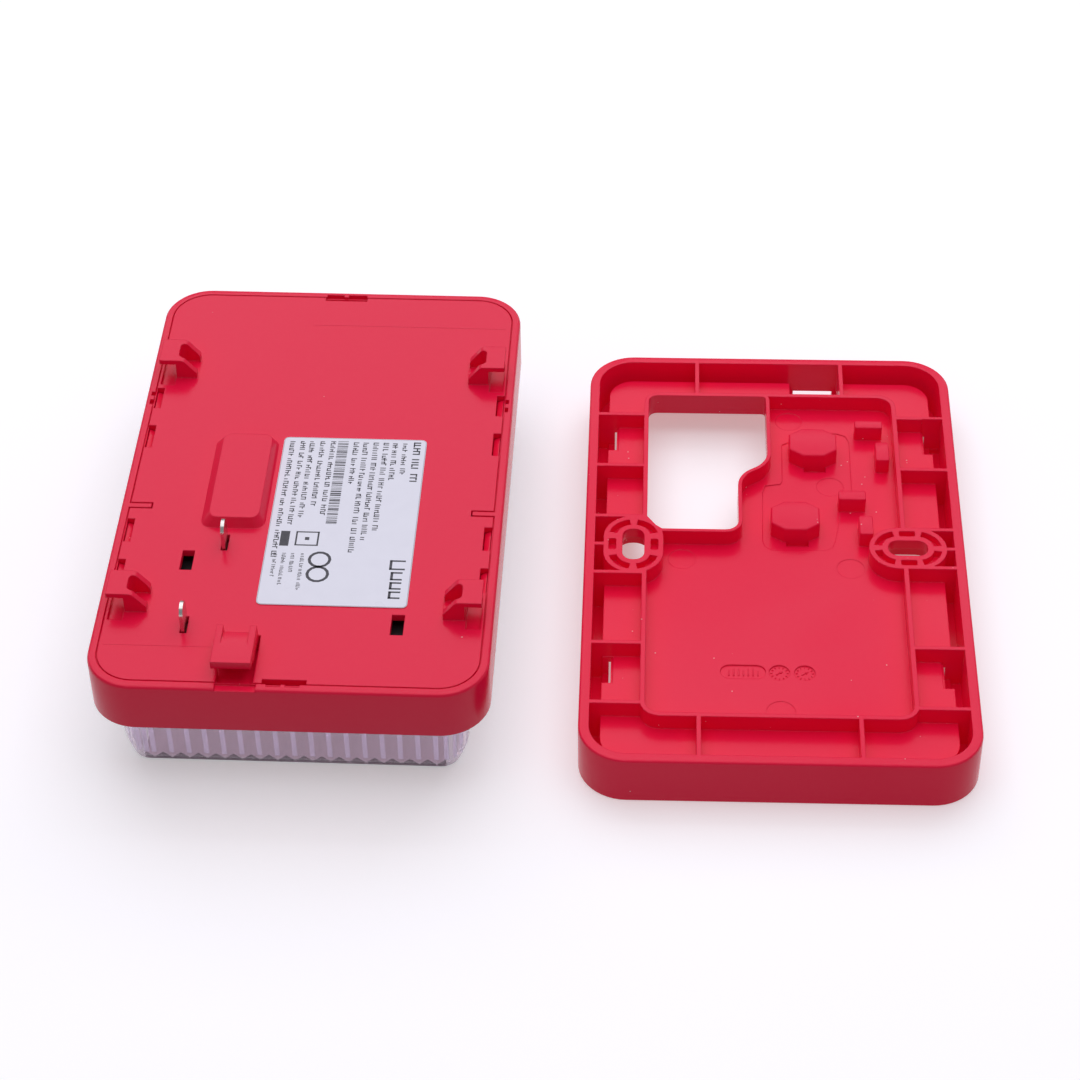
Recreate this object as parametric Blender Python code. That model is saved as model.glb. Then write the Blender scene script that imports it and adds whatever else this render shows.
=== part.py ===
"""Wall sounder strobe, taken off its wall: the sounder body lies on its clear lens with its rear
cover up, and the mounting bracket lies beside it with its wall side up.

Millimetres are used for every named size, and U turns them into Blender's metres. +Z is up, the
table is Z = 0, and each half is modelled about its own centre and then placed by an empty.
"""

import math

import bmesh
import bpy
from mathutils import Matrix

U = 0.001  # metres in a millimetre
GAP = 0.3  # running gap between pieces that touch

# ---------------------------------------------------------------- both halves
LENGTH = 140.4
CORNER_RADIUS = 11.0
CORNER_STEPS = 12
BODY_WIDTH = 89.0
BRACKET_WIDTH = 90.0
SPACING = 107.86  # centre to centre across the table
SHIFT = -2.23  # how far the bracket lies nearer than the body
BODY_TURN = math.radians(-0.86)  # the body lies very slightly askew
CORNER_X = BODY_WIDTH / 2 - CORNER_RADIUS
CORNER_Y = LENGTH / 2 - CORNER_RADIUS
LEAN = abs(math.sin(BODY_TURN))
BODY_REACH_X = CORNER_X * math.cos(BODY_TURN) + CORNER_Y * LEAN + CORNER_RADIUS
BODY_REACH_Y = CORNER_Y * math.cos(BODY_TURN) + CORNER_X * LEAN + CORNER_RADIUS

BRACKET_X = (SPACING - BRACKET_WIDTH / 2 + BODY_REACH_X) / 2
BODY_X = BRACKET_X - SPACING
BODY_Y = (LENGTH / 2 - SHIFT - BODY_REACH_Y) / 2
BRACKET_Y = BODY_Y + SHIFT

# ---------------------------------------------------------------- heights in the body
LENS_DEPTH = 17.8  # the lens stands this far out of the housing
SKIRT_DEPTH = 12.6
BODY_TOP = LENS_DEPTH + SKIRT_DEPTH
SKIRT_WALL = 3.3
RIM_FILLET = 0.8  # rounding of the housing's outer edge
FRONT_WALL = 1.8
COVER_THICK = 1.8
COVER_HALF_X = 42.3
COVER_HALF_Y = 67.8
COVER_RADIUS = 8.8
COVER_BOTTOM = BODY_TOP - COVER_THICK
LEDGE = COVER_BOTTOM - GAP  # the cover's edge rests just over this step in the housing
LOCATING_WALL = ((40.2, 65.4), (39.0, 64.2), 23.9)  # outer and inner half sizes, lower end

# lens
LENS_HALF_X = 40.0  # where it leaves the housing
LENS_HALF_Y = 64.4
LENS_DRAFT = 1.0
LENS_RADIUS = 7.0
LENS_WALL = 1.8
LENS_FLANGE = 0.9
FLANGE_THICK = 1.2

# hooks on the rear cover
HOOK_X = (33.2, 38.1, 42.0)  # tip, back, end of the plate
HOOK_TOP = 5.3
HOOK_PLATE = 1.2
HOOK_WEB = 1.5
HOOK_CROWN = 37.2  # where the sloping front reaches the top
HOOK_TIP_HEIGHT = 1.5
HOOK_NOTCH = 37.5  # how far the notch between the webs runs in
HOOK_POCKET = 0.9  # shallow pocket in the cover under the plate
HOOK_SPANS = ((35.1, 43.3), (-46.7, -38.9))

# edge windows of the cover, as (low y, high y), and the bites that meet them in the rim
SIDE_WINDOWS = ((23.5, 31.0), (9.1, 17.1), (-23.8, -16.0), (-37.6, -29.7))
WINDOW_EDGE = 40.5
SIDE_BITES = ((28.1, 29.6), (25.0, 26.7))
FAR_BITES = ((-4.7, -0.4), (0.7, 5.3))
NEAR_BITES = ((-3.8, -0.6), (0.4, 3.6))
END_WINDOWS = ((-5.0, 5.5, 66.6), (-4.8, 5.0, -66.6))  # low x, high x, inner y
BITE_DEPTH = 0.8

# release latch
LATCH_X = (-16.0, -7.1)
LATCH_ROOT = -53.4
LATCH_TIP = -66.1
LATCH_TOP = 4.3
LATCH_LIP = 1.9
LATCH_RIB = 1.5
LATCH_BAY = (-16.35, -15.0, -6.7, -63.7)  # wide left, narrow left, right, where the bay narrows

# contact blades: centre x, centre y
BLADES = ((-18.6, -23.3), (-24.2, -50.4))
BLADE_WIDTH = 4.7
BLADE_THICK = 0.8
BLADE_TOP = 6.6
BLADE_SLOT = (-0.7, 0.8)  # the cover's slot reaches farther on one side of the blade

# raised relief box on the cover: centre, half sizes, height
BLISTER = ((-17.7, -2.7), (7.8, 15.9), 2.5)

# what the housing holds
LED_HALF = 2.5
LED_PLACES = [(x, y) for y in (34.0, 50.0) for x in (-18.0, 0.0, 18.0)]
SOUNDER_CENTRE = (0.0, -22.0)
SOUNDER_RADIUS = 17.0
REFLECTOR_HALF = (37.3, 61.7)
REFLECTOR_Z = (LENS_DEPTH - 1.2, LENS_DEPTH + 0.2)
BOARD_Z = (LENS_DEPTH + 3.9, LENS_DEPTH + 5.5)
BOARD_HALF = (37.5, 62.0)
SCREW_PLACES = [(x, y) for x in (-33.5, 33.5) for y in (-57.5, 57.5)]
SWITCH_HOLES = {"tone_switch": (-27.9, -25.1, -32.7, -26.3), "volume_switch": (21.8, 24.7, -51.9, -45.5)}

# ---------------------------------------------------------------- bracket
BRACKET_TOP = 12.6
BRACKET_FILLET = 0.6
RIM = 2.4
CHANNEL = 2.5  # moat between the rim and the raised floor
CHANNEL_FLOOR = 1.5
FLOOR_TOP = BRACKET_TOP - 4.2
FLOOR_UNDER = BRACKET_TOP - 5.8
CAVITY_HALF_X = 38.6
CAVITY_HALF_Y = 63.8
RIB = 1.0
FRAME_HALF_X = 31.3
FRAME_Y = (-56.1, 56.1)
FRAME_RIB = 1.1
LEFT_RIBS = (47.6, 28.4, 10.0, -9.6, -33.0, -52.0)
RIGHT_RIBS = (47.4, 28.2, 6.6, -6.6, -33.3, -52.4)
FRAME_RADIUS = 4.5
SLOT_PITCH = 65.0
SLOT_LEFT = -33.4
SLOT_RIGHT = SLOT_LEFT + SLOT_PITCH
SLOT_HALF_WIDTH = 2.6
ROSETTE = 4.5  # width of the pad around a fixing slot
PAD_THICK = 2.7
POCKET_FLOOR = BRACKET_TOP - 1.9
TERMINALS = ((10.3, 38.0), (5.3, 11.1))  # screw centres
BLADE_SEAT = (13.4, 12.4)  # from a screw to where its blade comes in
BOSS_HALF = (5.8, 5.0)
BOSS_FACETS = (2.75, 2.6)  # half lengths of the facets at the sides and at the ends
BOSS_TOP = BRACKET_TOP - 0.1
BOSS_SLOT = (2.65, 1.5, 1.3)  # small pocket before each boss: half width, length, depth
RECESS = 0.2  # the floor is this much lower around the bosses
POSTS = (  # centre and half sizes of the four posts beside the bosses
    (24.25, 45.0, 3.4, 1.4), (27.2, 34.9, 1.65, 3.4), (19.2, 18.7, 3.3, 1.65), (22.1, 8.15, 1.65, 3.3),
)
FRONT_HOOKS = ((38.6, 47.1), (-42.1, -33.8))  # windows for the claws, as (low y, high y)
HOOK_WINDOW_X = 37.6

BODY_COLLECTION = "sounder_strobe"
CUTTER_COLLECTION = "cutters"


# ================================================================ helpers
def clear_scene():
    for item in list(bpy.data.objects):
        bpy.data.objects.remove(item, do_unlink=True)


def collection(name):
    made = bpy.data.collections.new(name)
    bpy.context.scene.collection.children.link(made)
    return made


def material(name, colour, roughness, metallic=0.0, alpha=1.0):
    made = bpy.data.materials.new(name)
    made.use_nodes = True
    shader = made.node_tree.nodes["Principled BSDF"]
    shader.inputs["Base Color"].default_value = (*colour, 1.0)
    shader.inputs["Roughness"].default_value = roughness
    shader.inputs["Metallic"].default_value = metallic
    shader.inputs["Alpha"].default_value = alpha
    return made


def empty(name, x, y, turn=0.0):
    made = bpy.data.objects.new(name, None)
    made.location = (x * U, y * U, 0.0)
    made.rotation_euler = (0.0, 0.0, turn)
    parts.objects.link(made)
    return made


def add_object(name, mesh, place, mat=None, cutter=False):
    """Puts a mesh in the scene under its half's empty, as a sub-part or as a cutter."""
    made = bpy.data.objects.new(name, mesh)
    (cutters if cutter else parts).objects.link(made)
    made.parent = place
    if mat:
        mesh.materials.append(mat)
    if cutter:
        made.hide_render = True
        made.display_type = "WIRE"
    return made


def round_rect(centre, half, radius, steps=CORNER_STEPS):
    """Outline of a rectangle with round corners, anticlockwise."""
    points = []
    for quarter in range(4):
        sign_x = (1, -1, -1, 1)[quarter]
        sign_y = (1, 1, -1, -1)[quarter]
        middle_x = centre[0] + sign_x * (half[0] - radius)
        middle_y = centre[1] + sign_y * (half[1] - radius)
        for step in range(steps + 1):
            angle = math.pi / 2 * (quarter + step / steps)
            points.append((middle_x + radius * math.cos(angle), middle_y + radius * math.sin(angle)))
    kept = [points[0]]
    for point in points[1:]:
        if math.dist(point, kept[-1]) > 1e-4:
            kept.append(point)
    if math.dist(kept[0], kept[-1]) < 1e-4:
        kept.pop()
    return kept


def arc(centre, radius, start, end, steps):
    """Points along an arc, with angles in degrees."""
    turns = [math.radians(start + (end - start) * i / steps) for i in range(steps + 1)]
    return [(centre[0] + radius * math.cos(a), centre[1] + radius * math.sin(a)) for a in turns]


def slab_mesh(name, outlines, z0, z1):
    """A flat 2D curve with one or more outlines, filled and extruded from z0 to z1."""
    curve = bpy.data.curves.new(name, "CURVE")
    curve.dimensions = "2D"
    curve.fill_mode = "BOTH"
    curve.extrude = (z1 - z0) / 2 * U
    for points in outlines:
        spline = curve.splines.new("POLY")
        spline.points.add(len(points) - 1)
        for target, point in zip(spline.points, points):
            target.co = (point[0] * U, point[1] * U, 0.0, 1.0)
        spline.use_cyclic_u = True
    holder = bpy.data.objects.new(name, curve)
    bpy.context.scene.collection.objects.link(holder)
    bpy.context.view_layer.update()
    seen = holder.evaluated_get(bpy.context.evaluated_depsgraph_get())
    mesh = bpy.data.meshes.new_from_object(seen)
    bpy.data.objects.remove(holder, do_unlink=True)
    work = bmesh.new()
    work.from_mesh(mesh)
    bmesh.ops.remove_doubles(work, verts=work.verts, dist=1e-6)
    bmesh.ops.translate(work, verts=work.verts, vec=(0.0, 0.0, (z0 + z1) / 2 * U))
    bmesh.ops.recalc_face_normals(work, faces=work.faces)
    work.to_mesh(mesh)
    work.free()
    mesh.name = name
    return mesh


def soft_slab_mesh(name, outline, z0, z1, fillet, steps=3):
    """A prism whose upper edge is rounded. The outline is a function of how far it is inset."""
    levels = [(z0, 0.0)]
    for step in range(steps + 1):
        angle = math.pi / 2 * step / steps
        levels.append((z1 - fillet * (1 - math.sin(angle)), fillet * (1 - math.cos(angle))))
    work = bmesh.new()
    rings = []
    for z, inset in levels:
        rings.append([work.verts.new((x * U, y * U, z * U)) for x, y in outline(inset)])
    for low, high in zip(rings, rings[1:]):
        for i, corner in enumerate(low):
            j = (i + 1) % len(low)
            work.faces.new((corner, low[j], high[j], high[i]))
    work.faces.new(rings[0][::-1])
    work.faces.new(rings[-1])
    mesh = bpy.data.meshes.new(name)
    work.to_mesh(mesh)
    work.free()
    return mesh


def inset_rect(centre, half, radius, steps=CORNER_STEPS):
    """The rounded rectangle's outline as a function of how far it is inset."""
    def outline(inset):
        return round_rect(centre, (half[0] - inset, half[1] - inset), radius - inset, steps)
    return outline


def joined_mesh(name, meshes):
    """Several closed meshes that don't meet, as the bodies of one cutter or one union."""
    work = bmesh.new()
    for mesh in meshes:
        work.from_mesh(mesh)
    made = bpy.data.meshes.new(name)
    work.to_mesh(made)
    work.free()
    return made


def boxes_mesh(name, boxes):
    """Boxes given as (x0, x1, y0, y1, z0, z1)."""
    work = bmesh.new()
    for x0, x1, y0, y1, z0, z1 in boxes:
        centre = Matrix.Translation(((x0 + x1) / 2 * U, (y0 + y1) / 2 * U, (z0 + z1) / 2 * U))
        size = Matrix.Diagonal(((x1 - x0) * U, (y1 - y0) * U, (z1 - z0) * U, 1.0))
        bmesh.ops.create_cube(work, size=1.0, matrix=centre @ size)
    mesh = bpy.data.meshes.new(name)
    work.to_mesh(mesh)
    work.free()
    return mesh


def cylinders_mesh(name, discs, segments=20):
    """Upright cylinders or cones given as (x, y, z0, z1, lower radius, upper radius)."""
    work = bmesh.new()
    for x, y, z0, z1, low, high in discs:
        place = Matrix.Translation((x * U, y * U, (z0 + z1) / 2 * U))
        bmesh.ops.create_cone(
            work, cap_ends=True, segments=segments, radius1=low * U, radius2=high * U,
            depth=(z1 - z0) * U, matrix=place,
        )
    mesh = bpy.data.meshes.new(name)
    work.to_mesh(mesh)
    work.free()
    return mesh


def side_slab_mesh(name, profile, y0, y1):
    """A profile drawn in X and Z, with its thickness from y0 to y1."""
    mesh = slab_mesh(name, [profile], -y1, -y0)
    mesh.transform(Matrix.Rotation(math.pi / 2, 4, "X"))
    return mesh


def end_slab_mesh(name, profile, x0, x1):
    """A profile drawn in Y and Z, with its thickness from x0 to x1."""
    mesh = slab_mesh(name, [profile], x0, x1)
    mesh.transform(Matrix(((0, 0, 1, 0), (1, 0, 0, 0), (0, 1, 0, 0), (0, 0, 0, 1))))
    return mesh


def boolean(target, mesh, operation="DIFFERENCE"):
    """Cuts a mesh out of the target, or joins it on."""
    tool = add_object(f"{target.name}_{mesh.name}", mesh, target.parent, cutter=True)
    tool.location = (0.0, 0.0, 0.0)
    step = target.modifiers.new(mesh.name, "BOOLEAN")
    step.operation = operation
    step.solver = "EXACT"
    step.object = tool
    return tool


def smooth(item, angle=35.0):
    item.data.shade_smooth()
    item.data.set_sharp_from_angle(angle=math.radians(angle))


def taper(mesh, z_split, scale_x, scale_y):
    """Scales what lies above z_split, so that a prism gets draft."""
    for vertex in mesh.vertices:
        if vertex.co.z > z_split * U:
            vertex.co.x *= scale_x
            vertex.co.y *= scale_y


def mirrored(boxes):
    """The given boxes and their copies on the other side of X = 0."""
    return boxes + [(-x1, -x0, y0, y1, z0, z1) for x0, x1, y0, y1, z0, z1 in boxes]


# ================================================================ sounder body
def make_front_housing(place):
    """Red bezel: a skirt all round, and a front wall with the lens opening."""
    half = (BODY_WIDTH / 2, LENGTH / 2)
    outline = inset_rect((0, 0), half, CORNER_RADIUS)
    mesh = soft_slab_mesh("front_housing", outline, LENS_DEPTH, BODY_TOP, RIM_FILLET)
    housing = add_object("front_housing", mesh, place, red)
    inner = (half[0] - SKIRT_WALL, half[1] - SKIRT_WALL)
    hollow = round_rect((0, 0), inner, CORNER_RADIUS - SKIRT_WALL)
    boolean(housing, slab_mesh("hollow", [hollow], LENS_DEPTH + FRONT_WALL, LEDGE + 0.1))
    seat = round_rect((0, 0), (COVER_HALF_X + GAP, COVER_HALF_Y + GAP), COVER_RADIUS + GAP)
    boolean(housing, slab_mesh("cover_seat", [seat], LEDGE, BODY_TOP + 1))
    opening = round_rect((0, 0), (LENS_HALF_X + GAP, LENS_HALF_Y + GAP), LENS_RADIUS + GAP)
    boolean(housing, slab_mesh("lens_opening", [opening], LENS_DEPTH - 1, LENS_DEPTH + FRONT_WALL + 1))

    seat_x = COVER_HALF_X + GAP
    seat_y = COVER_HALF_Y + GAP
    notch = (LATCH_BAY[1], LATCH_BAY[2] + 0.7, -LENGTH / 2 - 1, -seat_y - 0.15)
    boolean(housing, boxes_mesh("driver_notch", [(*notch, BODY_TOP - 0.55, BODY_TOP + 1)]))
    bite_z = (BODY_TOP - 1.2, BODY_TOP + 1)
    bites = mirrored([(seat_x - 0.1, seat_x + BITE_DEPTH, low, high, *bite_z) for low, high in SIDE_BITES])
    bites += [(low, high, seat_y - 0.1, seat_y + BITE_DEPTH, *bite_z) for low, high in FAR_BITES]
    bites += [(low, high, -seat_y - BITE_DEPTH + 0.1, -seat_y + 0.1, *bite_z) for low, high in NEAR_BITES]
    boolean(housing, boxes_mesh("snap_bites", bites))
    shelf = (LATCH_BAY[0] - 1.0, LATCH_BAY[2] + 0.8, -half[1] + SKIRT_WALL - 0.4, LATCH_ROOT + 1.0)
    boolean(housing, boxes_mesh("latch_shelf", [(*shelf, LEDGE - 1.5, LEDGE - 0.1)]), "UNION")
    tabs = mirrored([(37.4, seat_x + 0.3, -12.0, -10.7, COVER_BOTTOM, BODY_TOP)])
    boolean(housing, boxes_mesh("locating_tabs", tabs), "UNION")
    smooth(housing)


def make_lens(place):
    """Clear cover over the whole front, open at the back, with a flange that the bezel traps."""
    outer = round_rect((0, 0), (LENS_HALF_X - LENS_DRAFT, LENS_HALF_Y - LENS_DRAFT), LENS_RADIUS)
    top = LENS_DEPTH + FRONT_WALL + GAP
    mesh = slab_mesh("strobe_lens", [outer], 0.0, top)
    grow = (LENS_HALF_X / (LENS_HALF_X - LENS_DRAFT), LENS_HALF_Y / (LENS_HALF_Y - LENS_DRAFT))
    taper(mesh, LENS_DEPTH, *grow)
    lens = add_object("strobe_lens", mesh, place, clear)
    reach = (LENS_HALF_X + LENS_FLANGE, LENS_HALF_Y + LENS_FLANGE)
    flange = round_rect((0, 0), reach, LENS_RADIUS + LENS_FLANGE)
    boolean(lens, slab_mesh("flange", [flange], top - 0.02, top + FLANGE_THICK), "UNION")
    inner = (LENS_HALF_X - LENS_DRAFT - LENS_WALL, LENS_HALF_Y - LENS_DRAFT - LENS_WALL)
    hollow = round_rect((0, 0), inner, LENS_RADIUS - LENS_WALL)
    hollow_mesh = slab_mesh("hollow", [hollow], LENS_WALL, top + FLANGE_THICK + 1)
    taper(hollow_mesh, LENS_DEPTH, *grow)
    boolean(lens, hollow_mesh)
    smooth(lens)


def make_lens_gasket(place):
    """Soft ring between the lens flange and the reflector tray."""
    low = LENS_DEPTH + FRONT_WALL + FLANGE_THICK + 2 * GAP
    outer = round_rect((0, 0), (LENS_HALF_X + 0.8, LENS_HALF_Y + 0.8), LENS_RADIUS + 0.8, 5)
    inner = round_rect((0, 0), (LENS_HALF_X - 1.2, LENS_HALF_Y - 1.2), LENS_RADIUS - 1.2, 5)
    mesh = slab_mesh("lens_gasket", [outer, inner], low, low + 0.7)
    smooth(add_object("lens_gasket", mesh, place, rubber))


def make_reflector(place):
    """White tray behind the lens, with a window for each lamp and for the sounder's mouth."""
    outline = round_rect((0, 0), (REFLECTOR_HALF[0], REFLECTOR_HALF[1]), 5.0, 5)
    mesh = slab_mesh("reflector_tray", [outline], REFLECTOR_Z[0], REFLECTOR_Z[1])
    tray = add_object("reflector_tray", mesh, place, white_plastic)
    windows = [
        (x - LED_HALF - 0.5, x + LED_HALF + 0.5, y - LED_HALF - 0.5, y + LED_HALF + 0.5,
         REFLECTOR_Z[0] - 1, REFLECTOR_Z[1] + 1)
        for x, y in LED_PLACES
    ]
    pillars = [(x, y, REFLECTOR_Z[1] - 0.3, BOARD_Z[0] - GAP, 3.2, 3.2) for x, y in SCREW_PLACES]
    boolean(tray, cylinders_mesh("pillars", pillars, 16), "UNION")
    pilots = [(x, y, REFLECTOR_Z[1] + 0.1, BOARD_Z[1] + 1, 1.55, 1.55) for x, y in SCREW_PLACES]
    boolean(tray, cylinders_mesh("pilot_holes", pilots, 12))
    boolean(tray, boxes_mesh("lamp_windows", windows))
    radius = SOUNDER_RADIUS + 0.5
    mouth = (*SOUNDER_CENTRE, REFLECTOR_Z[0] - 1, REFLECTOR_Z[1] + 1, radius, radius)
    boolean(tray, cylinders_mesh("sounder_window", [mouth], 32))
    smooth(tray)


def make_circuit_board(place):
    outline = round_rect((0, 0), BOARD_HALF, 4.0, 3)
    board = add_object("circuit_board", slab_mesh("circuit_board", [outline], *BOARD_Z), place, board_green)
    holes = [(x, y, BOARD_Z[0] - 1, BOARD_Z[1] + 1, 1.7, 1.7) for x, y in SCREW_PLACES]
    boolean(board, cylinders_mesh("screw_holes", holes, 12))


def make_board_screws(place):
    """Pan-head screws through the board's corners, heads towards the rear cover."""
    for number, (x, y) in enumerate(SCREW_PLACES, 1):
        shank = cylinders_mesh(f"board_screw_{number}", [(0, 0, -5.0, 0.2, 1.25, 1.25)], 12)
        screw = add_object(f"board_screw_{number}", shank, place, steel)
        screw.location = (x * U, y * U, (BOARD_Z[1] + GAP) * U)
        head = cylinders_mesh("head", [(0, 0, 0.0, 1.5, 2.6, 2.1)], 12)
        boolean(screw, head, "UNION").location = screw.location
        slot = boxes_mesh("slot", [(-3, 3, -0.3, 0.3, 0.9, 2.5)])
        boolean(screw, slot).location = screw.location
        smooth(screw)


def make_lamps(place):
    """Square lamp packages on the board, each with its dome in the reflector's window."""
    for number, (x, y) in enumerate(LED_PLACES, 1):
        size = (x - LED_HALF, x + LED_HALF, y - LED_HALF, y + LED_HALF)
        base = boxes_mesh(f"strobe_led_{number}", [(*size, LENS_DEPTH + 1.0, BOARD_Z[0] - GAP)])
        lamp = add_object(f"strobe_led_{number}", base, place, lamp_yellow)
        dome = cylinders_mesh("dome", [(x, y, LENS_DEPTH - 1.0, LENS_DEPTH + 1.1, 1.2, 2.2)], 16)
        boolean(lamp, dome, "UNION")
        smooth(lamp)


def make_sounder(place):
    """Resonator cup and the brass plate of its piezo disc, facing the front."""
    x, y = SOUNDER_CENTRE
    low = LENS_DEPTH - 3.4
    high = BOARD_Z[0] - GAP
    outer = SOUNDER_RADIUS - 0.4
    cup_mesh = cylinders_mesh("sounder_cup", [(x, y, low, high, outer, outer)], 32)
    cup = add_object("sounder_cup", cup_mesh, place, black_plastic)
    inner = SOUNDER_RADIUS - 2.0
    boolean(cup, cylinders_mesh("chamber", [(x, y, low + 1.4, high + 1, inner, inner)], 32))
    holes = [(x + 6.5 * math.cos(a), y + 6.5 * math.sin(a), low - 1, low + 2, 2.3, 2.3)
             for a in (math.radians(60 * i) for i in range(6))]
    boolean(cup, cylinders_mesh("sound_holes", holes + [(x, y, low - 1, low + 2, 2.3, 2.3)], 12))
    smooth(cup)
    plate = inner - GAP
    disc = cylinders_mesh("piezo_plate", [(x, y, LENS_DEPTH + 0.4, LENS_DEPTH + 0.8, plate, plate)], 32)
    smooth(add_object("piezo_plate", disc, place, brass))
    disc = cylinders_mesh("piezo_ceramic", [(x, y, LENS_DEPTH + 1.1, LENS_DEPTH + 1.4, 10.0, 10.0)], 24)
    smooth(add_object("piezo_ceramic", disc, place, white_plastic))


def make_board_parts(place):
    """Drive parts on the rear of the board: reservoir capacitors, boost coil, switches, blade sockets."""
    cans = (("reservoir_capacitor_1", 22.0, 30.0), ("reservoir_capacitor_2", 22.0, 42.0))
    foot = BOARD_Z[1] + GAP
    for name, x, y in cans:
        can = cylinders_mesh(name, [(x, y, foot, COVER_BOTTOM - 0.9, 3.1, 3.1)], 16)
        smooth(add_object(name, can, place, black_plastic))
    coil = cylinders_mesh("boost_coil", [(6.0, 36.0, foot, COVER_BOTTOM - 1.2, 4.5, 4.5)], 20)
    smooth(add_object("boost_coil", coil, place, ferrite))
    for name, (x0, x1, y0, y1) in SWITCH_HOLES.items():
        block = boxes_mesh(name, [(x0 - 1.5, x1 + 1.5, y0 - 1.0, y1 + 1.0, foot, COVER_BOTTOM - 2.1)])
        add_object(name, block, place, black_plastic)
    for number, (x, y) in enumerate(BLADES, 1):
        name = f"blade_socket_{number}"
        size = (x - 2.2, x + 2.2, y - 3.6, y + 3.6)
        block = boxes_mesh(name, [(*size, foot, COVER_BOTTOM - 1.6)])
        socket = add_object(name, block, place, ivory_plastic)
        slot = (x - BLADE_THICK / 2 - GAP, x + BLADE_THICK / 2 + GAP)
        width = BLADE_WIDTH / 2 + GAP
        boolean(socket, boxes_mesh("slot", [(*slot, y - width, y + width, foot + 0.7, COVER_BOTTOM + 1)]))


def hook_parts(side, low, high):
    """One claw: a solid bracket with an outward plate, and the notch that leaves it two webs."""
    tip, back, end = HOOK_X
    base = BODY_TOP - 0.6
    top = BODY_TOP + HOOK_TOP
    crown = arc((HOOK_CROWN, top - 2.0), 2.0, 90, 132, 4)
    profile = [(tip, base), (back, base), (back, top - HOOK_PLATE), (end, top - HOOK_PLATE), (end, top)]
    profile += crown + [(tip, BODY_TOP + HOOK_TIP_HEIGHT)]
    if side < 0:
        profile = [(-x, z) for x, z in reversed(profile)]
    block = side_slab_mesh("claw", profile, low, high)
    reach = (HOOK_NOTCH - tip + 0.2) / 2
    centre = (side * (HOOK_NOTCH - reach), (low + high) / 2)
    notch = round_rect(centre, (reach, (high - low) / 2 - HOOK_WEB), 1.1, 4)
    return block, slab_mesh("claw_notch", [notch], BODY_TOP - 0.05, top + 1)


def locating_wall():
    """Wall under the cover that locates it in the housing, open where the latch is."""
    outer_half, inner_half, low = LOCATING_WALL
    radius = COVER_RADIUS - COVER_HALF_X + outer_half[0]
    corner = CORNER_STEPS + 1
    outlines = []
    for half, bend in ((outer_half, radius), (inner_half, radius - outer_half[0] + inner_half[0])):
        points = round_rect((0, 0), half, bend)
        points = points[3 * corner:] + points[:3 * corner]
        right = (LATCH_BAY[2] + 1.1, -half[1])
        left = (LATCH_BAY[0] - 1.3, -half[1])
        outlines.append([right, *points, left])
    return slab_mesh("locating_wall", [outlines[0] + outlines[1][::-1]], low, COVER_BOTTOM + 0.1)


def make_rear_cover(place):
    """Flush rear cover with four claws, a raised relief box, edge windows and access holes."""
    outline = round_rect((0, 0), (COVER_HALF_X, COVER_HALF_Y), COVER_RADIUS)
    cover = add_object("rear_cover", slab_mesh("rear_cover", [outline], COVER_BOTTOM, BODY_TOP), place, red)
    boolean(cover, locating_wall(), "UNION")

    through = (COVER_BOTTOM - 1, BODY_TOP + 1)
    cuts = mirrored([(WINDOW_EDGE, COVER_HALF_X + 1, y0, y1, *through) for y0, y1 in SIDE_WINDOWS])
    cuts += mirrored([(37.1, COVER_HALF_X + 1, -12.4, -10.3, *through)])
    for x0, x1, y in END_WINDOWS:
        y0, y1 = sorted((y, math.copysign(COVER_HALF_Y + 1, y)))
        cuts.append((x0, x1, y0, y1, *through))
    cuts += [(*hole, *through) for hole in SWITCH_HOLES.values()]
    width = BLADE_WIDTH / 2 + GAP
    cuts += [(x + BLADE_SLOT[0], x + BLADE_SLOT[1], y - width, y + width, *through) for x, y in BLADES]
    pocket_x = (HOOK_X[1] + 0.3, HOOK_X[2] - 0.3)
    pocket_z = (BODY_TOP - HOOK_POCKET, BODY_TOP + 1)
    cuts += mirrored([(*pocket_x, low - 2.7, high - 0.5, *pocket_z) for low, high in HOOK_SPANS])
    boolean(cover, boxes_mesh("openings", cuts))
    wide, narrow, right, step = LATCH_BAY
    edge = -COVER_HALF_Y - 1
    bay = [(wide, LATCH_ROOT + GAP), (wide, step), (narrow, step), (narrow, edge), (right, edge),
           (right, LATCH_ROOT + GAP)]
    boolean(cover, slab_mesh("latch_bay", [bay], *through))

    centre, half, height = BLISTER
    blister = slab_mesh("blister", [round_rect(centre, half, 2.5, 5)], BODY_TOP - 0.5, BODY_TOP + height)
    for vertex in blister.vertices:
        if vertex.co.z > (BODY_TOP + 1) * U:
            vertex.co.x = (centre[0] + 0.4) * U + (vertex.co.x - centre[0] * U) * 0.74
            vertex.co.y = centre[1] * U + (vertex.co.y - centre[1] * U) * 0.92
    boolean(cover, blister, "UNION")
    for side in (-1, 1):
        for low, high in HOOK_SPANS:
            claw, notch = hook_parts(side, low, high)
            boolean(cover, claw, "UNION")
            boolean(cover, notch)
    smooth(cover)


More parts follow.
